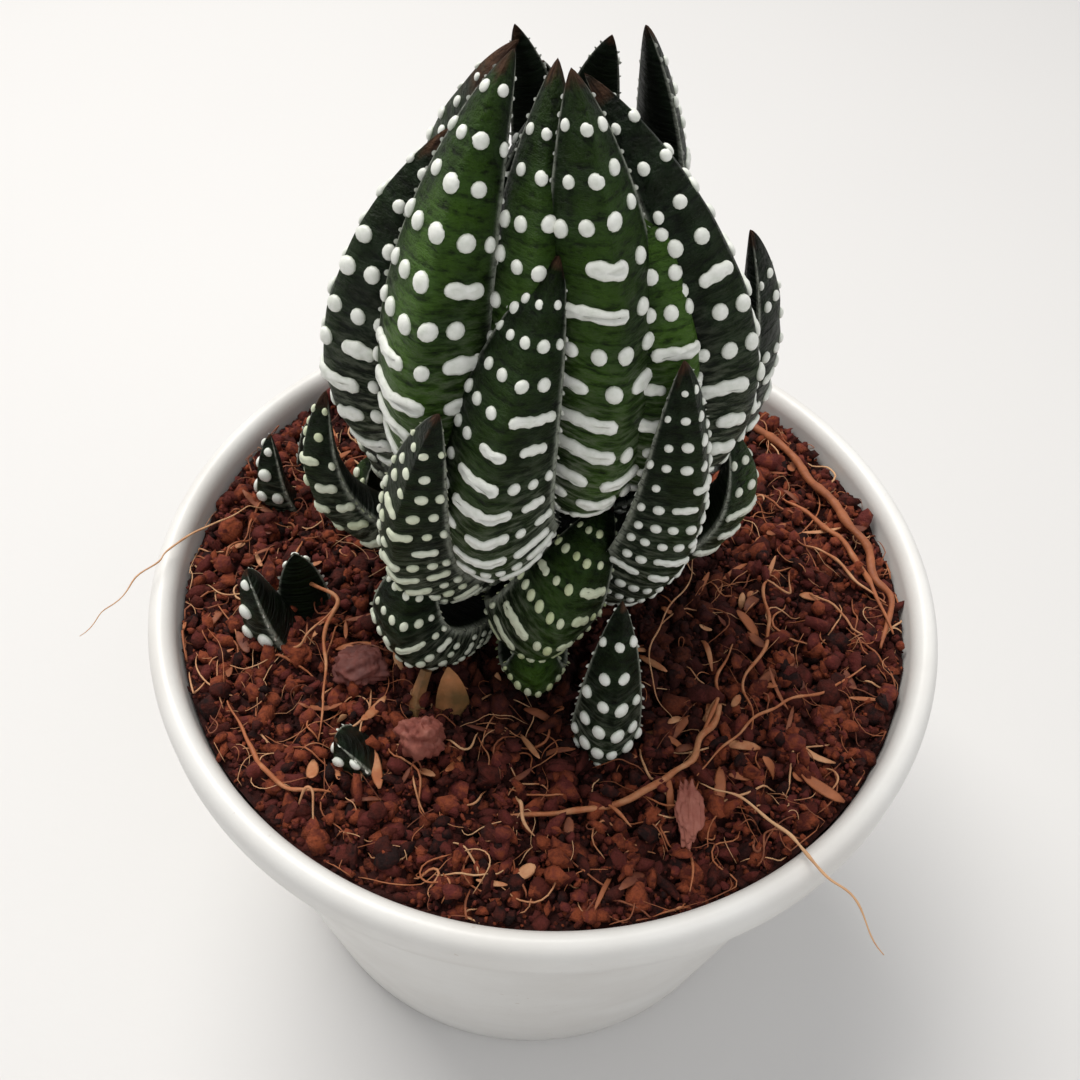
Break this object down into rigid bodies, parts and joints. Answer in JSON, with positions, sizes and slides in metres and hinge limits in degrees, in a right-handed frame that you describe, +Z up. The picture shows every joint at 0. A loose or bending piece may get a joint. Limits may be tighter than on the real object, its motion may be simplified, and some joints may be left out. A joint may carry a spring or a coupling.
{
  "type": "potted haworthia",
  "caption": "Round tapered plastic pot filled with coir soil, holding an upright rosette of thick pointed leaves banded with raised white beads, with small offsets beside it",
  "frame": {"origin": "the middle of the pot's underside", "axes": "+Z up; -Y towards the front, the side with the front offset; +X to the right"},
  "size_m": [0.104, 0.104, 0.1471],
  "materials": {
    "pot": "satin off-white moulded plastic",
    "soil": "damp crumbly reddish coir peat with fine fibres",
    "leaf": "waxy dark green skin with fine cross wrinkles and glossy white raised beads",
    "stem": "pale fleshy stem",
    "root": "cream fleshy root",
    "fibre": "dry tan coir fibre",
    "chip": "rough pinkish brown coir chip",
    "dry": "dried papery plant matter"
  },
  "bodies": {
    "root": {"coir_chip_front": "chip", "coir_chip_left": "chip", "coir_fibre_crossing": "fibre", "coir_fibre_forked": "fibre", "coir_fibre_left": "fibre", "coir_fibre_pale": "fibre", "coir_fibre_right": "fibre", "coir_fibre_wall": "fibre", "coir_husk_flake": "chip", "dried_leaf": "dry", "dry_stalk": "dry", "leaf_collar_back": "leaf", "leaf_collar_front": "leaf", "leaf_collar_front_left": "leaf", "leaf_collar_front_low": "leaf", "leaf_collar_left": "leaf", "leaf_collar_right": "leaf", "leaf_crown_back": "leaf", "leaf_crown_back_right": "leaf", "leaf_crown_front": "leaf", "leaf_crown_front_right": "leaf", "leaf_crown_left": "leaf", "leaf_crown_right": "leaf", "leaf_heart_left": "leaf", "leaf_heart_right": "leaf", "leaf_lower_back": "leaf", "leaf_lower_back_left": "leaf", "leaf_lower_back_right": "leaf", "leaf_lower_front_left": "leaf", "leaf_lower_front_right": "leaf", "leaf_lower_left": "leaf", "leaf_lower_right": "leaf", "leaf_middle_back": "leaf", "leaf_middle_back_right": "leaf", "leaf_middle_front": "leaf", "leaf_middle_right": "leaf", "leaf_upper_back": "leaf", "leaf_upper_back_left": "leaf", "leaf_upper_front_left": "leaf", "leaf_upper_front_right": "leaf", "leaf_upper_left": "leaf", "leaf_upper_right": "leaf", "offset_back_left_leaf_1": "leaf", "offset_back_left_leaf_2": "leaf", "offset_corner_leaf": "leaf", "offset_front_leaf": "leaf", "offset_left_leaf_1": "leaf", "offset_left_leaf_2": "leaf", "pot": "pot", "root_1": "root", "root_2": "root", "root_3": "root", "root_4": "root", "soil": "soil", "stem": "stem"}
  },
  "joints": []
}
